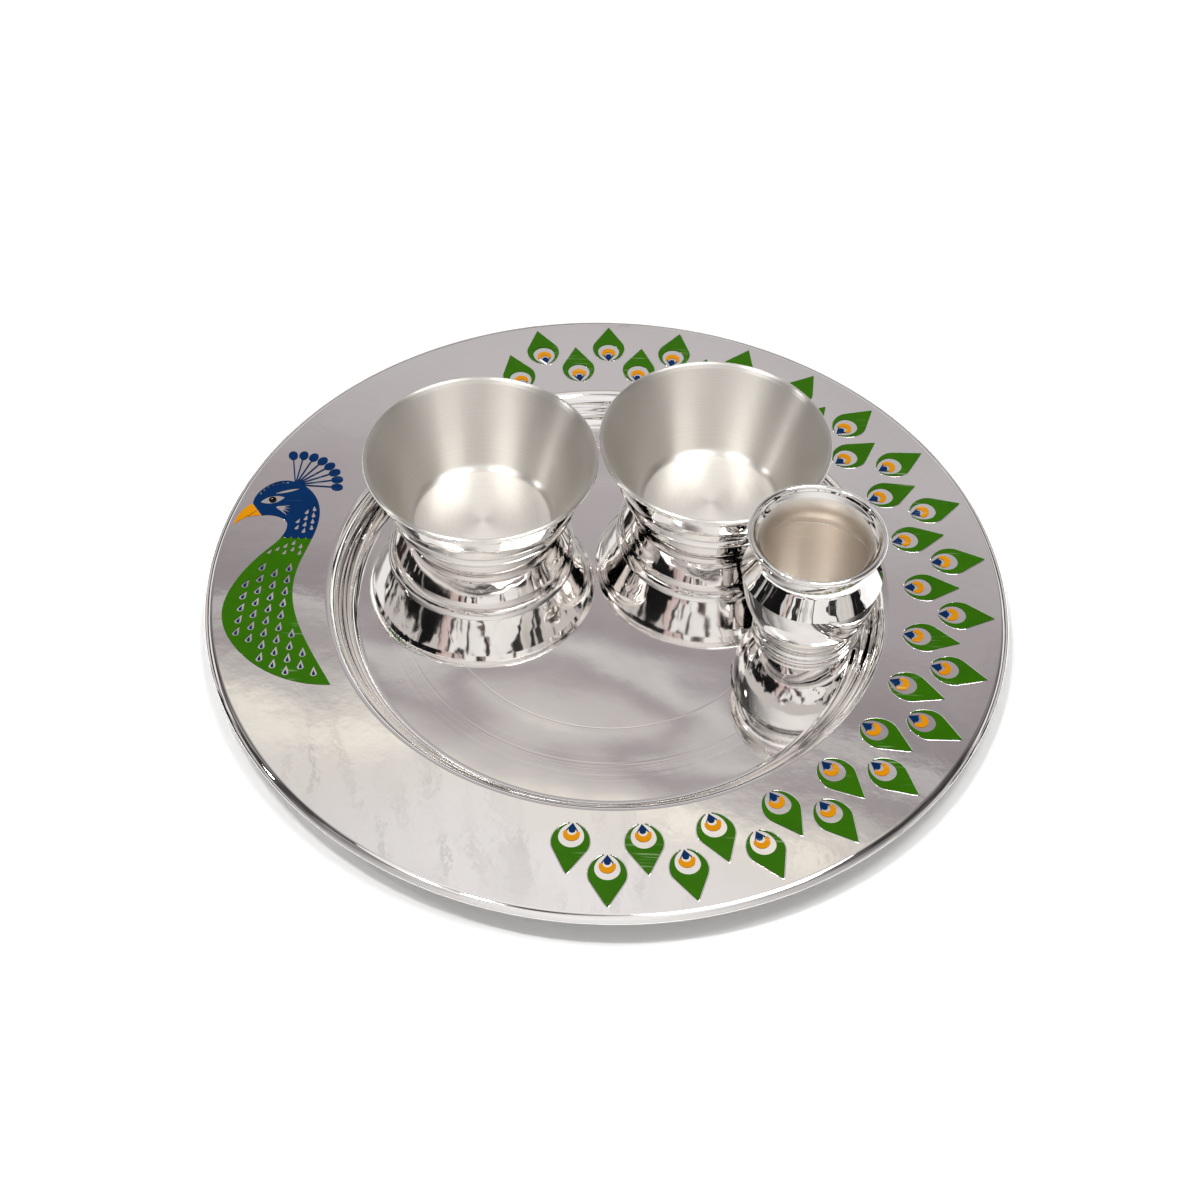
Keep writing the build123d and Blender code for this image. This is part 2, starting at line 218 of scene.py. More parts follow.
# Silver plate, buffed with rouge on a soft wheel: a near-white mirror with a faint warmth. The spun sheet is
# never quite flat, so straight things bend in it, and its floor lifts a little towards the wall. Buffing left
# a slight orange peel, and the spinning tool some rings near the wall and one scribed circle on the floor.
scribed_radius = 57.5 * mm
scribed_width = 0.3 * mm
ringed_radius = 74 * mm
ringed_reach = 6 * mm
lift_start = 60 * mm
lift_end = 96 * mm
peel_start = 94 * mm
peel_end = 104 * mm
tray_silver, tree, shader = new_material("buffed_silver_plate_tray")
shader.inputs["Base Color"].default_value = linear("#F8F5F4")
shader.inputs["Metallic"].default_value = 1.0
where = add(tree, "ShaderNodeTexCoord").outputs["Object"]
spun = add(tree, "ShaderNodeUVMap", uv_map="spun")
run = add(tree, "ShaderNodeSeparateXYZ", {"Vector": spun.outputs["UV"]}).outputs["Y"]
sway = add(tree, "ShaderNodeTexNoise", {"Vector": where, "Scale": 1 / (40 * mm), "Detail": 1.0})
peel = add(tree, "ShaderNodeTexNoise", {"Vector": where, "Scale": 1 / (5 * mm), "Detail": 2.0})
smear = add(tree, "ShaderNodeTexNoise", {"Vector": where, "Scale": 1 / (24 * mm), "Detail": 4.0})
rings = add(
    tree, "ShaderNodeTexNoise", {"W": run, "Scale": 1 / (1.6 * mm), "Detail": 2.0}, noise_dimensions="1D"
)
off_rings = add(tree, "ShaderNodeMath", {0: run, 1: ringed_radius}, operation="SUBTRACT")
off_rings = add(tree, "ShaderNodeMath", {0: off_rings.outputs[0]}, operation="ABSOLUTE")
ring_share = add(
    tree,
    "ShaderNodeMapRange",
    {"Value": off_rings.outputs[0], "From Max": ringed_reach, "To Min": 1.0, "To Max": 0.0},
)
peel_share = add(
    tree,
    "ShaderNodeMapRange",
    {"Value": run, "From Min": peel_start, "From Max": peel_end, "To Min": 0.25},
)
off_circle = add(tree, "ShaderNodeMath", {0: run, 1: scribed_radius}, operation="SUBTRACT")
off_circle = add(tree, "ShaderNodeMath", {0: off_circle.outputs[0]}, operation="ABSOLUTE")
scribe = add(tree, "ShaderNodeMapRange", {"Value": off_circle.outputs[0], "From Max": scribed_width})
lift = add(
    tree,
    "ShaderNodeMapRange",
    {"Value": run, "From Min": lift_start, "From Max": lift_end},
    interpolation_type="SMOOTHSTEP",
)
bumped = {}
for height, strength, depth in (
    (lift.outputs["Result"], 1.0, 0.5 * mm),
    (sway.outputs["Fac"], 1.0, 0.24 * mm),
    (peel.outputs["Fac"], peel_share.outputs["Result"], 0.018 * mm),
    (rings.outputs["Fac"], ring_share.outputs["Result"], 0.012 * mm),
    (scribe.outputs["Result"], 1.0, 0.004 * mm),
):
    bump = add(tree, "ShaderNodeBump", {"Height": height, "Strength": strength, "Distance": depth, **bumped})
    bumped = {"Normal": bump.outputs["Normal"]}
dulled = add(
    tree,
    "ShaderNodeMapRange",
    {"Value": smear.outputs["Fac"], "From Min": 0.35, "From Max": 0.75, "To Min": 0.02, "To Max": 0.08},
)
tree.links.new(dulled.outputs["Result"], shader.inputs["Roughness"])
tree.links.new(bumped["Normal"], shader.inputs["Normal"])
tray.data.materials.append(tray_silver)
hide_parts("thali_tray")
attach(tray, "tray")

# Enamel: coloured glass-like lacquer, filled into the rim's design and baked. It lies almost level with the
# metal, with a high gloss, a slightly uneven body of colour and pale streaks where cloths have rubbed it.
enamel_colours = {
    "green": ("#306400", "#265600", "#7C9664"),
    "amber": ("#CE8700", "#C07900", "#DCBC80"),
    "blue": ("#002A57", "#002048", "#587088"),
    "black": ("#100E12", "#09080B", "#434145"),
}
enamel = {}
for colour, (plain, deep, worn) in enamel_colours.items():
    enamel[colour], tree, shader = new_material(f"baked_{colour}_enamel")
    shader.inputs["Roughness"].default_value = 0.1
    shader.inputs["Specular IOR Level"].default_value = 0.1
    where = add(tree, "ShaderNodeTexCoord").outputs["Object"]
    cloud = add(tree, "ShaderNodeTexNoise", {"Vector": where, "Scale": 1 / (9 * mm), "Detail": 3.0})
    body = add(
        tree,
        "ShaderNodeMix",
        {0: cloud.outputs["Fac"], 6: linear(deep), 7: linear(plain)},
        data_type="RGBA",
    )
    drawn = add(
        tree, "ShaderNodeVectorMath", {0: where, 1: (1 / (16 * mm), 1 / (0.9 * mm), 0)}, operation="MULTIPLY"
    )
    streak = add(tree, "ShaderNodeTexNoise", {"Vector": drawn.outputs["Vector"], "Scale": 1.0, "Detail": 2.0})
    patch = add(tree, "ShaderNodeTexNoise", {"Vector": where, "Scale": 1 / (17 * mm), "Detail": 1.0})
    rubbed = add(
        tree,
        "ShaderNodeMath",
        {0: streak.outputs["Fac"], 1: patch.outputs["Fac"]},
        operation="MULTIPLY",
    )
    rubbed = add(
        tree,
        "ShaderNodeMapRange",
        {"Value": rubbed.outputs[0], "From Min": 0.36, "From Max": 0.46, "To Min": 0.0, "To Max": 0.7},
    )
    coat = add(
        tree,
        "ShaderNodeMix",
        {0: rubbed.outputs["Result"], 6: body.outputs[2], 7: linear(worn)},
        data_type="RGBA",
    )
    tree.links.new(coat.outputs[2], shader.inputs["Base Color"])
enamel_nodes = {
    "feather_green_enamel": "green",
    "feather_amber_enamel": "amber",
    "feather_blue_enamel": "blue",
    "peacock_green_enamel": "green",
    "peacock_blue_enamel": "blue",
    "peacock_beak_enamel": "amber",
    "peacock_eye_enamel": "black",
}
for node, colour in enamel_nodes.items():
    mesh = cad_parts[node].data
    mesh.materials.clear()
    mesh.materials.append(enamel[colour])

# Feather edges: the tray's own metal stands up in a fine line round each feather, and keeps the enamel in. It
# is raised by the die that stamps the design, and shows as a thin bright outline where it meets the light.
# Its section is a flat ellipse: edge_width (1 + cos q) / 2 out from the enamel, and edge_height sin q up.
feather_length = 19.4 * mm
feather_half_width = 6.05 * mm
feather_widest = 7.3 * mm
horn_half_gap = 1.05 * mm
feather_margin = 2.0 * mm
row_step = 11.4 * mm
feather_pitch = np.radians(12)
outer_first = np.radians(-88.7)
outer_count = 17
inner_count = 18
edge_width = 0.42 * mm
edge_height = 0.08 * mm
rim_flat_end = tray_radius - edge_turn - edge_bend * np.tan(edge_slope / 2)
outer_base = rim_flat_end - feather_margin - feather_length
rise = feather_half_width - horn_half_gap
horn_radius = (feather_widest**2 + rise**2) / (2 * rise)
swing = np.linspace(np.arcsin(feather_widest / horn_radius), 0, 14, endpoint=False)
horn = np.stack(
    [feather_widest - horn_radius * np.sin(swing), feather_half_width - horn_radius * (1 - np.cos(swing))],
    axis=1,
)
swing = np.linspace(0, np.arcsin(feather_half_width / (feather_length - feather_widest)), 10)
crown = np.stack(
    [feather_widest + feather_half_width * np.sin(swing), feather_half_width * np.cos(swing)], axis=1
)
straight = crown[-1] + np.linspace(0, 1, 9)[1:, None] * (np.array([feather_length, 0]) - crown[-1])
half_outline = np.concatenate([horn, crown, straight])
outline = np.concatenate([half_outline, half_outline[-2::-1] * [1, -1]])
way = np.gradient(outline, axis=0)
way /= np.linalg.norm(way, axis=1, keepdims=True)
outwards = np.stack([-way[:, 1], way[:, 0]], axis=1)
swing = np.linspace(np.pi, -np.pi, 12, endpoint=False)
spread = edge_width / 2 * (1 + np.cos(swing))
across = outline[:, None] + outwards[:, None] * spread[:, None]
turns = np.concatenate(
    [
        outer_first + feather_pitch * np.arange(outer_count),
        outer_first + feather_pitch * (np.arange(inner_count) - 0.5),
    ]
)[:, None, None]
bases = np.repeat([outer_base, outer_base - row_step], [outer_count, inner_count])[:, None, None]
along = bases + across[None, ..., 0]
aside = np.broadcast_to(across[None, ..., 1], along.shape)
level = np.broadcast_to(rim_top + edge_height * np.sin(swing), along.shape)
points = np.stack(
    [along * np.cos(turns) - aside * np.sin(turns), along * np.sin(turns) + aside * np.cos(turns), level],
    axis=-1,
)
ids = np.arange(along.size).reshape(along.shape)
beside = np.roll(ids, -1, axis=2)
faces = np.stack([ids[:, :-1], ids[:, 1:], beside[:, 1:], beside[:, :-1]], axis=-1).reshape(-1, 4).tolist()
faces += ids[:, 0].tolist() + ids[:, -1, ::-1].tolist()
mesh = bpy.data.meshes.new("feather_edges")
mesh.from_pydata(points.reshape(-1, 3).tolist(), [], faces)
mesh.polygons.foreach_set("use_smooth", np.ones(len(mesh.polygons), bool))
feather_edges = bpy.data.objects.new("feather_edges", mesh)
bpy.context.scene.collection.objects.link(feather_edges)
mesh.materials.append(tray_silver)
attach(feather_edges, "tray")

# Bowls: flared cups spun from sheet, with a rolled lip and a half-round ring soldered round the waist. They
# are buffed outside like the tray, and slightly barrelled. Inside they keep the satin of the lathe, whose
# fine turning lines draw each light out into a streak towards the middle.
bowl_wall = 1.0 * mm
bowl_base = 27.7 * mm
base_bend = 4.2 * mm
lip_slope = np.radians(48)
lip_length = 1.3 * mm
lip_bend = 1.5 * mm
lip_hem = 0.9 * mm
ring_low = 9.8 * mm
ring_high = 16.2 * mm
ring_proud = 1.1 * mm
barrel_middle = 86 * mm
barrel_reach = 18 * mm
barrel_rise = 0.7 * mm
groove_pitch = 0.5 * mm
groove_depth = 0.012 * mm
corner_run = 0.8 * mm
floor_order = 0.45


def buffed_silver(name, barrel):
    """Silver plate buffed by hand.

    Over the run of a bowl's outer wall it bulges by barrel times 1 - s ** 2, for s from -1 to 1 along it.
    """
    material, tree, shader = new_material(name)
    shader.inputs["Base Color"].default_value = linear("#F9F7F4")
    shader.inputs["Metallic"].default_value = 1.0
    shader.inputs["Roughness"].default_value = 0.03
    where = add(tree, "ShaderNodeTexCoord").outputs["Object"]
    spun = add(tree, "ShaderNodeUVMap", uv_map="spun")
    run = add(tree, "ShaderNodeSeparateXYZ", {"Vector": spun.outputs["UV"]}).outputs["Y"]
    off_middle = add(
        tree,
        "ShaderNodeMapRange",
        {
            "Value": run,
            "From Min": barrel_middle - barrel_reach,
            "From Max": barrel_middle + barrel_reach,
            "To Min": -1.0,
            "To Max": 1.0,
        },
    ).outputs["Result"]
    dip = add(tree, "ShaderNodeMath", {0: off_middle, 1: off_middle}, operation="MULTIPLY").outputs[0]
    bulge = add(tree, "ShaderNodeMath", {0: 1.0, 1: dip}, operation="SUBTRACT").outputs[0]
    swell = add(tree, "ShaderNodeBump", {"Height": bulge, "Strength": 1.0, "Distance": barrel})
    sway = add(tree, "ShaderNodeTexNoise", {"Vector": where, "Scale": 1 / (13 * mm), "Detail": 2.0})
    uneven = add(
        tree,
        "ShaderNodeBump",
        {
            "Height": sway.outputs["Fac"],
            "Strength": 1.0,
            "Distance": 0.2 * mm,
            "Normal": swell.outputs["Normal"],
        },
    )
    tree.links.new(uneven.outputs["Normal"], shader.inputs["Normal"])
    return material


def turned_satin(name, dark, pale, floor_end, painted_wall_shade, wall_order):
    """Silver with the fine rings of the lathe.

    Past the vessel's floor, painted shade darkens the wall by a given share; its lines have their own order.
    """
    material, tree, shader = new_material(name)
    shader.inputs["Metallic"].default_value = 1.0
    shader.inputs["Roughness"].default_value = 0.37
    shader.inputs["Anisotropic Rotation"].default_value = 0.25
    tangent = add(tree, "ShaderNodeTangent", direction_type="UV_MAP", uv_map="spun")
    spun = add(tree, "ShaderNodeUVMap", uv_map="spun")
    run = add(tree, "ShaderNodeSeparateXYZ", {"Vector": spun.outputs["UV"]}).outputs["Y"]
    grooves = add(
        tree,
        "ShaderNodeTexNoise",
        {"W": run, "Scale": 1 / groove_pitch, "Detail": 3.0},
        noise_dimensions="1D",
    )
    tone = add(
        tree, "ShaderNodeMix", {0: grooves.outputs["Fac"], 6: linear(dark), 7: linear(pale)}, data_type="RGBA"
    )
    wall = add(
        tree, "ShaderNodeMapRange", {"Value": run, "From Min": floor_end, "From Max": floor_end + corner_run}
    )
    # Painted shade: past the floor, the wall is mixed towards a darker grey, for the shade inside the vessel
    shade = add(tree, "ShaderNodeMath", {0: wall.outputs["Result"], 1: painted_wall_shade}, operation="MULTIPLY")
    tone = add(
        tree,
        "ShaderNodeMix",
        {0: shade.outputs[0], 6: tone.outputs[2], 7: linear("#A49E97")},
        data_type="RGBA",
    )
    order = add(
        tree,
        "ShaderNodeMapRange",
        {"Value": wall.outputs["Result"], "To Min": floor_order, "To Max": wall_order},
    )
    cut = add(
        tree,
        "ShaderNodeBump",
        {"Height": grooves.outputs["Fac"], "Strength": 1.0, "Distance": groove_depth},
    )
    tree.links.new(tone.outputs[2], shader.inputs["Base Color"])
    tree.links.new(order.outputs["Result"], shader.inputs["Anisotropic"])
    tree.links.new(cut.outputs["Normal"], shader.inputs["Normal"])
    tree.links.new(tangent.outputs["Tangent"], shader.inputs["Tangent"])
    return material


bowl_silver = buffed_silver("buffed_silver_plate_bowl", barrel_rise)
bead_silver = buffed_silver("buffed_silver_plate_bead", 0.0)
# The bowls' lining carries painted shade on its wall, which makes the wall darker than the floor
bowl_satin = turned_satin(
    "turned_satin_silver_bowl",
    dark="#ECE7E0",
    pale="#FEFCF8",
    floor_end=24.4 * mm,
    painted_wall_shade=0.3,
    wall_order=0.95,
)
for side in ("left", "right"):
    cup_low, cup_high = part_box(f"{side}_bowl_cup")
    middle = (cup_low + cup_high) / 2
    spot = (middle.x, middle.y, cup_low.z)
    lip = (cup_high.x - cup_low.x) / 2
    height = cup_high.z - cup_low.z
    lip_way = np.array([np.cos(lip_slope), np.sin(lip_slope)])
    lip_left = np.array([-lip_way[1], lip_way[0]])
    lip_end = np.array([lip - lip_hem, height - lip_hem]) - lip_left * bowl_wall / 2
    crease = lip_end - lip_way * lip_length
    cup_line = bent_line([(0, 0), (bowl_base, 0), crease, lip_end], [base_bend, lip_bend], spacing=2.5 * mm)
    cup_section = sheet_section(*cup_line, bowl_wall, lip_hem, 1)
    inside = len(cup_line[0]) + (bead_points + 1) // 2
    cup = spun_piece(f"{side}_bowl", *cup_section, spot, around=256, lining=inside)
    cup.data.materials.append(bowl_silver)
    cup.data.materials.append(bowl_satin)
    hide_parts(f"{side}_bowl_cup")
    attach(cup, f"{side}_bowl")

    lean = np.arctan2(crease[0] - bowl_base, crease[1])
    seat_low = np.array([bowl_base + ring_low * np.tan(lean), ring_low])
    seat_high = np.array([bowl_base + ring_high * np.tan(lean), ring_high])
    chord = np.linalg.norm(seat_high - seat_low)
    bulge = (ring_proud**2 + chord**2 / 4) / (2 * ring_proud)
    along = (seat_high - seat_low) / chord
    out = np.array([along[1], -along[0]])
    swing = np.linspace(1, -1, 25)[:, None] * np.arcsin(chord / 2 / bulge)
    facing = np.cos(swing) * out + np.sin(swing) * along
    bead = (seat_low + seat_high) / 2 + out * (ring_proud - bulge) + bulge * facing
    ring = spun_piece(f"{side}_bowl_bead", bead, facing, spot, around=256, ring=True)
    ring.data.materials.append(bead_silver)
    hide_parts(f"{side}_bowl_waist_ring")
    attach(ring, f"{side}_bowl")

# Lota: a small water pot of two drawn halves, soldered at the belly's ridge, with a rolled mouth. A turned
# foot ring is soldered under it. It is buffed outside and round the mouth, and left satin inside.
lota_silver = buffed_silver("buffed_silver_plate_lota", 0.0)
lota_satin = turned_satin(
    "turned_satin_silver_lota",
    dark="#EBE2D8",
    pale="#F7F1E9",
    floor_end=14.0 * mm,
    painted_wall_shade=0.0,
    wall_order=0.6,
)
lota_wall = 0.9 * mm
lota_base = 15.8 * mm
base_round = 1.5 * mm
swell_radius = 42.0 * mm
throat_radius = 18.7 * mm
throat_height = 10.6 * mm
throat_bend = 7.5 * mm
throat_band = 4.5 * mm
mouth = 23.6 * mm
mouth_hem = 1.1 * mm
foot_width = 5.2 * mm
foot_round = 1.5 * mm
lower_low, lower_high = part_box("lota_lower_half")
neck_low, neck_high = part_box("lota_neck_half")
foot_low, foot_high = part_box("lota_foot_ring")
middle = (foot_low + foot_high) / 2
spot = (middle.x, middle.y, foot_low.z)
foot_height = foot_high.z - foot_low.z
belly = (lower_high.x - lower_low.x) / 2
base_corner = np.array([lota_base, foot_height])
belly_top = np.array([belly, lower_high.z - foot_low.z])
gap = belly_top - base_corner
knuckle = np.array([belly, belly_top[1] - (gap @ gap) / (2 * gap[1])])
lower_line = bent_line(
    [(0, foot_height), base_corner, knuckle, belly_top],
    [base_round, swell_radius],
    spacing=2.5 * mm,
    bend_steps=30,
)
lower_section = sheet_section(*lower_line, lota_wall, lota_wall / 2, 1)
inside = len(lower_line[0])
lower = spun_piece("lota_belly", *lower_section, spot, around=224, lining=inside)
lower.data.materials.append(lota_silver)
lower.data.materials.append(lota_satin)
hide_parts("lota_lower_half")
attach(lower, "lota")

ridge = np.array([(neck_high.x - neck_low.x) / 2, neck_low.z - foot_low.z])
to_throat = np.array([throat_radius + throat_bend, ridge[1] + throat_height]) - ridge
span = np.linalg.norm(to_throat)
shoulder_heading = np.arctan2(to_throat[1], to_throat[0]) + np.arcsin(throat_bend / span)
hem_share = (throat_radius + throat_bend - mouth + mouth_hem) / (throat_bend + lota_wall / 2)
mouth_heading = np.pi / 2 - np.arccos(hem_share)
bend_take = throat_bend * np.tan((shoulder_heading - mouth_heading) / 2)
shoulder_way = np.array([np.cos(shoulder_heading), np.sin(shoulder_heading)])
mouth_way = np.array([np.cos(mouth_heading), np.sin(mouth_heading)])
waist = ridge + shoulder_way * (np.sqrt(span**2 - throat_bend**2) + bend_take)
neck_line = bent_line(
    [ridge, waist, waist + mouth_way * bend_take],
    [throat_bend],
    spacing=1.5 * mm,
    bend_steps=30,
)
neck_section = sheet_section(*neck_line, lota_wall, mouth_hem, 1)
inside = np.count_nonzero(neck_line[0][:, 1] < ridge[1] + throat_height + throat_band)
neck = spun_piece("lota_neck", *neck_section, spot, around=224, lining=inside, ring=True)
neck.data.materials.append(lota_silver)
neck.data.materials.append(lota_satin)
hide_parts("lota_neck_half")
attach(neck, "lota")

foot_radius = (foot_high.x - foot_low.x) / 2
foot_bulge = (foot_round**2 + foot_height**2 / 4) / (2 * foot_round)
swing = np.linspace(1, -1, 21)[:, None] * np.arcsin(foot_height / 2 / foot_bulge)
facing = np.concatenate([np.cos(swing), np.sin(swing)], axis=1)
bead = np.array([foot_radius - foot_bulge, foot_height / 2]) + foot_bulge * facing
back = np.array([[foot_radius - foot_width, 0], [foot_radius - foot_width, foot_height]])
back_facing = np.array([[-1, -1], [-1, 1]]) / np.sqrt(2)
foot_section = np.concatenate([bead, back]), np.concatenate([facing, back_facing])
foot = spun_piece("lota_foot", *foot_section, spot, around=192, ring=True)
foot.data.materials.append(lota_silver)
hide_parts("lota_foot_ring")
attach(foot, "lota")

# Studio: a plain white floor of paper under soft light from overhead. A grey cloth, two painted cards and a
# ceiling stand round it, seen only in the metal, to give the mirror something to show.
floor_radius = 0.62
floor_mesh = bpy.data.meshes.new("studio_floor")
floor_edge = lathe(np.array([[floor_radius, 0.0]]), 96)
floor_mesh.from_pydata(floor_edge.tolist(), [], [list(range(len(floor_edge)))])
floor = bpy.data.objects.new("studio_floor", floor_mesh)
bpy.context.scene.collection.objects.link(floor)
paper, tree, shader = new_material("white_paper_floor")
shader.inputs["Base Color"].default_value = linear("#FCFCFB")
shader.inputs["Roughness"].default_value = 0.9
floor_mesh.materials.append(paper)

world = bpy.data.worlds.new("white_studio")
world.use_nodes = True
tree = world.node_tree
tree.nodes.clear()
path = add(tree, "ShaderNodeLightPath").outputs
seen = add(tree, "ShaderNodeMath", {0: path["Is Camera Ray"], 1: path["Is Glossy Ray"]}, operation="MAXIMUM")
seen = add(tree, "ShaderNodeMath", {0: seen.outputs[0], 1: path["Is Transmission Ray"]}, operation="MAXIMUM")
light = add(tree, "ShaderNodeBackground", {"Color": (1, 1, 1, 1), "Strength": 0.6})
shown = add(tree, "ShaderNodeBackground", {"Color": (1, 1, 1, 1), "Strength": 1.0})
mixed = add(
    tree,
    "ShaderNodeMixShader",
    {0: seen.outputs[0], 1: light.outputs["Background"], 2: shown.outputs["Background"]},
)
add(tree, "ShaderNodeOutputWorld", {"Surface": mixed.outputs["Shader"]})
bpy.context.scene.world = world


def reflector(name, azimuths, elevations, distance, steps):
    """Part of a sphere of radius d about the tray, as a card that only shiny surfaces see.

    Its points are (d sin a cos e, d cos a cos e, d sin e) for azimuth a, from +Y, and elevation e. It neither
    shades the floor nor stands in a picture. Its UV map holds both angles, so its patterns are in degrees.
    """
    azimuth = np.linspace(*azimuths, steps[0])[:, None]
    elevation = np.linspace(*elevations, steps[1])[None]
    sight = np.stack(np.broadcast_arrays(azimuth, elevation), axis=-1)
    a, e = np.moveaxis(np.radians(sight), -1, 0)
    points = distance * np.stack([np.sin(a) * np.cos(e), np.cos(a) * np.cos(e), np.sin(e)], axis=-1)
    ids = np.arange(a.size).reshape(a.shape)
    faces = np.stack([ids[:-1, :-1], ids[1:, :-1], ids[1:, 1:], ids[:-1, 1:]], axis=-1).reshape(-1, 4)
    mesh = bpy.data.meshes.new(name)
    mesh.from_pydata(points.reshape(-1, 3).tolist(), [], faces.tolist())
    uv = sight.reshape(-1, 2)[faces.ravel()]
    mesh.uv_layers.new(name="sight").uv.foreach_set("vector", uv.astype(np.float32).ravel())
    card = bpy.data.objects.new(name, mesh)
    bpy.context.scene.collection.objects.link(card)
    card.visible_camera = card.visible_diffuse = card.visible_shadow = False
    return card


def glowing_material(name):
    """A cloth or board that shows its own tone, whatever light falls on it, with its node tree and shader."""
    material = bpy.data.materials.new(name)
    material.use_nodes = True
    tree = material.node_tree
    tree.nodes.clear()
    glow = add(tree, "ShaderNodeEmission", {"Strength": 1.0})
    add(tree, "ShaderNodeOutputMaterial", {"Surface": glow.outputs["Emission"]})
    return material, tree, glow


def shifted(tree, angle, noises):
    """An angle plus each noise times its reach, and the middle of that shift: half the sum of the reaches."""
    for noise, reach in noises:
        moved = add(tree, "ShaderNodeMath", {0: noise, 1: reach, 2: angle}, operation="MULTIPLY_ADD")
        angle = moved.outputs[0]
    return angle, sum(reach for noise, reach in noises) / 2


def tone_along(tree, value, shift, tones, first, last, interpolation="LINEAR"):
    """Colour along a value, such as an angle: each tone at its own place, moved on by the shift.

    The ramp runs from the first value to the last, and keeps its end tones beyond them.
    """
    share = add(
        tree,
        "ShaderNodeMapRange",
        {"Value": value, "From Min": first + shift, "From Max": last + shift},
    )
    node = add(tree, "ShaderNodeValToRGB", {"Fac": share.outputs["Result"]})
    ramp = node.color_ramp
    ramp.interpolation = interpolation
    while len(ramp.elements) < len(tones):
        ramp.elements.new(0.5)
    for stop, (place, tone) in zip(ramp.elements, tones):
        stop.position = (place - first) / (last - first)
        stop.color = linear(tone)
    return node.outputs["Color"]


# Grey cloth all round and overhead, which the flat of the tray shows. Its soft bands rise towards the right,
# and its top hangs in loose folds. It darkens towards the sides, and is palest on the camera's side.
band_rise = 8.0
scrim = reflector("grey_scrim", (-180, 180), (12, 66), 2.4, (97, 28))
scrim_cloth, tree, glow = glowing_material("grey_scrim_cloth")
sight = add(tree, "ShaderNodeUVMap", uv_map="sight").outputs["UV"]
apart = add(tree, "ShaderNodeSeparateXYZ", {"Vector": sight}).outputs
azimuth = add(tree, "ShaderNodeMath", {0: apart["X"]}, operation="RADIANS").outputs[0]
aside = add(tree, "ShaderNodeMath", {0: azimuth}, operation="SINE").outputs[0]
lean = add(tree, "ShaderNodeMath", {0: aside, 1: -band_rise, 2: apart["Y"]}, operation="MULTIPLY_ADD")
billow = add(tree, "ShaderNodeTexNoise", {"Vector": sight, "Scale": 1 / 14, "Detail": 2.0}).outputs["Fac"]
drift, shift = shifted(tree, lean.outputs[0], [(billow, 5.0)])
scrim_tones = (
    (5, "#C6C2C2"),
    (18, "#B4AFB0"),
    (30, "#A9A3A4"),
    (41, "#C2BFBF"),
    (46, "#AFA8AA"),
    (49.6, "#9C9497"),
    (50.7, "#CDCAC9"),
    (51.6, "#A59E9F"),
    (53.4, "#C9C5C2"),
    (54.3, "#E6E1D8"),
    (55.2, "#FBF6EA"),
    (56.4, "#E8E4DE"),
    (58.5, "#ECEAE9"),
)
bands = tone_along(tree, drift, shift, scrim_tones, 0, 90, "EASE")
hung = add(tree, "ShaderNodeVectorMath", {0: sight, 1: (1 / 0.8, 1 / 4, 0)}, operation="MULTIPLY")
folds = add(tree, "ShaderNodeTexNoise", {"Vector": hung.outputs["Vector"], "Scale": 1.0, "Detail": 3.0})
folds = add(tree, "ShaderNodeMapRange", {"Value": folds.outputs["Fac"], "From Min": 0.5, "From Max": 0.7})
loose = add(
    tree,
    "ShaderNodeMapRange",
    {"Value": drift, "From Min": 55.5, "From Max": 58.0, "To Max": 0.4},
)
shade = add(
    tree,
    "ShaderNodeMath",
    {0: folds.outputs["Result"], 1: loose.outputs["Result"]},
    operation="MULTIPLY",
)
tone = add(
    tree,
    "ShaderNodeMix",
    {0: shade.outputs[0], 6: bands, 7: linear("#A8A29E")},
    data_type="RGBA",
)
sideways = add(tree, "ShaderNodeMath", {0: aside, 1: aside}, operation="MULTIPLY")
dusk = add(tree, "ShaderNodeMapRange", {"Value": sideways.outputs[0], "From Max": 0.6})
parted = add(
    tree,
    "ShaderNodeMapRange",
    {"Value": billow, "From Min": 0.52, "From Max": 0.58, "To Min": 0.95, "To Max": 0.6},
)
dusk = add(
    tree,
    "ShaderNodeMath",
    {0: dusk.outputs["Result"], 1: parted.outputs["Result"]},
    operation="MULTIPLY",
)
tone = add(
    tree,
    "ShaderNodeMix",
    {0: dusk.outputs[0], 6: tone.outputs[2], 7: linear("#2B2829")},
    data_type="RGBA",
)
facing = add(tree, "ShaderNodeMath", {0: azimuth}, operation="COSINE")
near = add(
    tree,
    "ShaderNodeMapRange",
    {"Value": facing.outputs[0], "From Max": -1.0, "To Max": 0.8},
)
tone = add(
    tree,
    "ShaderNodeMix",
    {0: near.outputs["Result"], 6: tone.outputs[2], 7: linear("#FCFBF9")},
    data_type="RGBA",
)
tree.links.new(tone.outputs[2], glow.inputs["Color"])
scrim.data.materials.append(scrim_cloth)

# The room on the camera's side: dark and pale upright shapes with ragged edges, which the vessels show. They
# break off in steps, as in a heap, and end at an uneven height.
front_span = (75, 285)
front_top = 17.0
front_fade = 2.0
front_room = reflector("front_room", front_span, (1, 30), 2.2, (43, 3))
front_cloth, tree, glow = glowing_material("front_room_shapes")
sight = add(tree, "ShaderNodeUVMap", uv_map="sight").outputs["UV"]
apart = add(tree, "ShaderNodeSeparateXYZ", {"Vector": sight}).outputs
broad = add(tree, "ShaderNodeTexNoise", {"Vector": sight, "Scale": 1 / 18, "Detail": 1.0}).outputs["Fac"]
ragged = add(tree, "ShaderNodeTexNoise", {"Vector": sight, "Scale": 1 / 5, "Detail": 3.0}).outputs["Fac"]
heaped = add(tree, "ShaderNodeVectorMath", {0: sight, 1: (1 / 16, 1 / 6, 0)}, operation="MULTIPLY")
heaped = add(tree, "ShaderNodeTexVoronoi", {"Vector": heaped.outputs["Vector"], "Scale": 1.0})
heaped = add(tree, "ShaderNodeSeparateColor", {"Color": heaped.outputs["Color"]}).outputs["Red"]
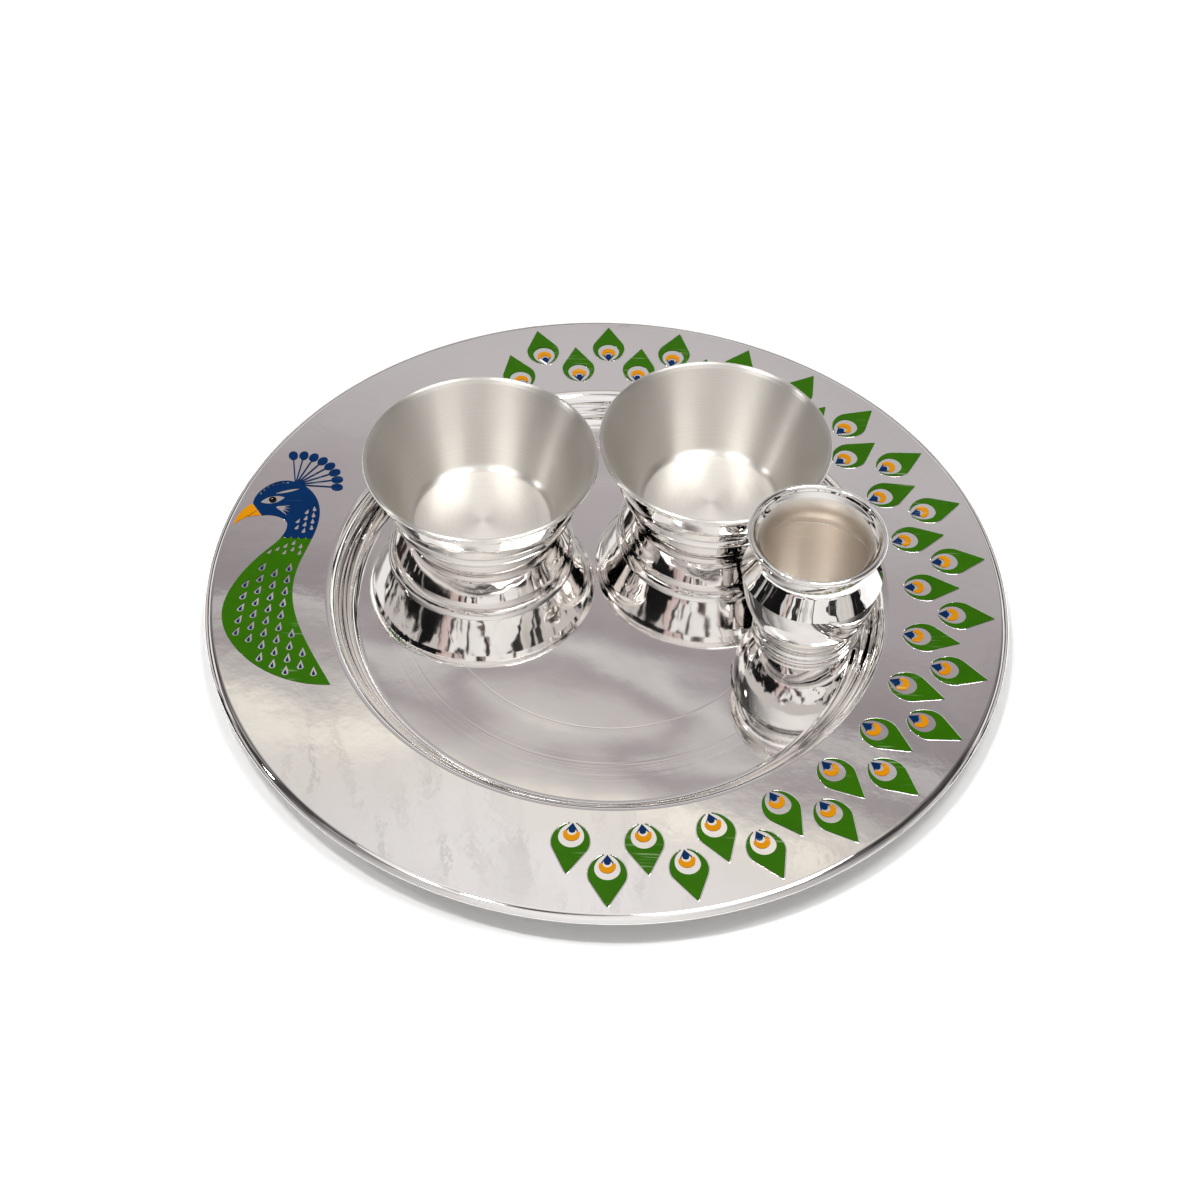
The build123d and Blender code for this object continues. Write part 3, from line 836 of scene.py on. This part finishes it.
front_tones = (
    (75, "#232122"),
    (84, "#232122"),
    (86, "#DAD6D2"),
    (97, "#CFCAC5"),
    (99, "#1B1A1B"),
    (109, "#1B1A1B"),
    (111, "#B9B4AF"),
    (126, "#D8D5D1"),
    (128, "#3A3736"),
    (146, "#2A2829"),
    (148, "#EDEBE9"),
    (172, "#F8F7F6"),
    (174, "#54423A"),
    (181, "#3D302B"),
    (183, "#F8F7F6"),
    (198, "#EDEBE9"),
    (200, "#2B2827"),
    (204, "#3A3736"),
    (206, "#DCCBC8"),
    (215, "#BFA9A6"),
    (217, "#121112"),
    (240, "#1A191A"),
    (242, "#A8A3A1"),
    (245, "#121112"),
    (262, "#171617"),
    (264, "#E4E2E0"),
    (268, "#232122"),
    (285, "#232122"),
)
across, shift = shifted(tree, apart["X"], [(broad, 44.0), (heaped, 30.0), (ragged, 14.0)])
shapes = tone_along(tree, across, shift, front_tones, *front_span)
upward, shift = shifted(tree, apart["Y"], [(ragged, 16.0), (broad, 24.0)])
ended = add(
    tree,
    "ShaderNodeMapRange",
    {"Value": upward, "From Min": front_top + shift, "From Max": front_top + shift + front_fade},
)
tone = add(
    tree,
    "ShaderNodeMix",
    {0: ended.outputs["Result"], 6: shapes, 7: linear("#C9C5C2")},
    data_type="RGBA",
)
tree.links.new(tone.outputs[2], glow.inputs["Color"])
front_room.data.materials.append(front_cloth)

# The room behind: small lights and long level shapes, which the curve of the tray's wall draws into streaks
back_room = reflector("back_room", (-75, 75), (1, 38), 2.2, (31, 3))
back_cloth, tree, glow = glowing_material("back_room_shapes")
sight = add(tree, "ShaderNodeUVMap", uv_map="sight").outputs["UV"]
elevation = add(tree, "ShaderNodeSeparateXYZ", {"Vector": sight}).outputs["Y"]
drawn = add(tree, "ShaderNodeVectorMath", {0: sight, 1: (1 / 16, 1 / 9, 0)}, operation="MULTIPLY")
waver = add(tree, "ShaderNodeTexNoise", {"Vector": drawn.outputs["Vector"], "Scale": 1.0, "Detail": 3.0})
upward, shift = shifted(tree, elevation, [(waver.outputs["Fac"], 14.0)])
back_tones = (
    (0, "#2F2826"),
    (3, "#1B191A"),
    (6, "#0E0D0E"),
    (7.5, "#E8E6E4"),
    (14, "#C4C0BE"),
    (20, "#A9A4A3"),
    (22, "#2F2826"),
    (27, "#1B191A"),
    (29, "#F6F5F4"),
    (34, "#F6F5F4"),
    (36, "#8C8687"),
    (40, "#A09A9B"),
)
levels = tone_along(tree, upward, shift, back_tones, 0, 40)
lit = add(tree, "ShaderNodeVectorMath", {0: sight, 1: (1 / 9, 1 / 7, 0)}, operation="MULTIPLY")
lit = add(tree, "ShaderNodeTexVoronoi", {"Vector": lit.outputs["Vector"], "Scale": 1.0})
lit = add(
    tree,
    "ShaderNodeMapRange",
    {"Value": lit.outputs["Distance"], "From Min": 0.1, "From Max": 0.18, "To Min": 1.0, "To Max": 0.0},
)
tone = add(
    tree,
    "ShaderNodeMix",
    {0: lit.outputs["Result"], 6: levels, 7: linear("#FCFBF9")},
    data_type="RGBA",
)
tree.links.new(tone.outputs[2], glow.inputs["Color"])
back_room.data.materials.append(back_cloth)

# The ceiling: pale, with one dark patch left of the middle, which the tray's floor and the vessels pick up
patch_middle = (-0.35, 0.0, 2.35)
ceiling = reflector("ceiling", (-180, 180), (66, 90), 2.4, (97, 9))
ceiling_board, tree, glow = glowing_material("ceiling_patches")
where = add(tree, "ShaderNodeTexCoord").outputs["Object"]
patches = add(tree, "ShaderNodeTexNoise", {"Vector": where, "Scale": 1 / 1.1, "Detail": 1.0})
off_patch = add(tree, "ShaderNodeVectorMath", {0: where, 1: patch_middle}, operation="DISTANCE")
spread = add(
    tree,
    "ShaderNodeMath",
    {0: off_patch.outputs["Value"], 1: 0.7, 2: patches.outputs["Fac"]},
    operation="MULTIPLY_ADD",
)
ceiling_tones = (
    (0.0, "#1A191A"),
    (0.62, "#2C292A"),
    (0.76, "#A8A3A1"),
    (0.86, "#EDEBE9"),
    (1.0, "#F4F3F2"),
)
board_tone = tone_along(tree, spread.outputs[0], 0, ceiling_tones, 0, 1)
tree.links.new(board_tone, glow.inputs["Color"])
ceiling.data.materials.append(ceiling_board)

# Lamps: three small ones on the left, which glint in the satin, and a broad soft one on the right
for name, place, size, power in (
    ("left_lamp", (-0.32, -0.05, 1.45), 0.06, 4.4),
    ("far_left_lamp", (-0.48, -0.05, 1.45), 0.05, 3.2),
    ("side_lamp", (-1.05, 0.1, 0.94), 0.05, 2.0),
    ("right_lamp", (0.38, 0.1, 1.5), 0.5, 7.5),
):
    lamp = bpy.data.lights.new(name, "AREA")
    lamp.energy = power
    lamp.size = size
    holder = bpy.data.objects.new(name, lamp)
    aimed = Vector(place).to_track_quat("Z", "Y").to_matrix().to_4x4()
    holder.matrix_world = Matrix.Translation(place) @ aimed
    holder.visible_camera = False
    bpy.context.scene.collection.objects.link(holder)

# Camera: above and in front of the tray, turned a little about its own line of sight
camera_height_angle = np.radians(48.319)
camera_roll = np.radians(2.087)
camera_distance = 720 * mm
camera_aim = Vector((-2.576 * mm, 0, floor_top))
focal_share = 1.6948
camera = bpy.data.cameras.new("camera")
camera.sensor_width = 36
camera.lens = camera.sensor_width * focal_share
holder = bpy.data.objects.new("camera", camera)
turned = Matrix.Rotation(np.pi / 2 - camera_height_angle, 4, "X") @ Matrix.Rotation(camera_roll, 4, "Z")
holder.matrix_world = Matrix.Translation(camera_aim) @ turned @ Matrix.Translation((0, 0, camera_distance))
bpy.context.scene.collection.objects.link(holder)
bpy.context.scene.camera = holder
bpy.context.scene.view_settings.view_transform = "Standard"
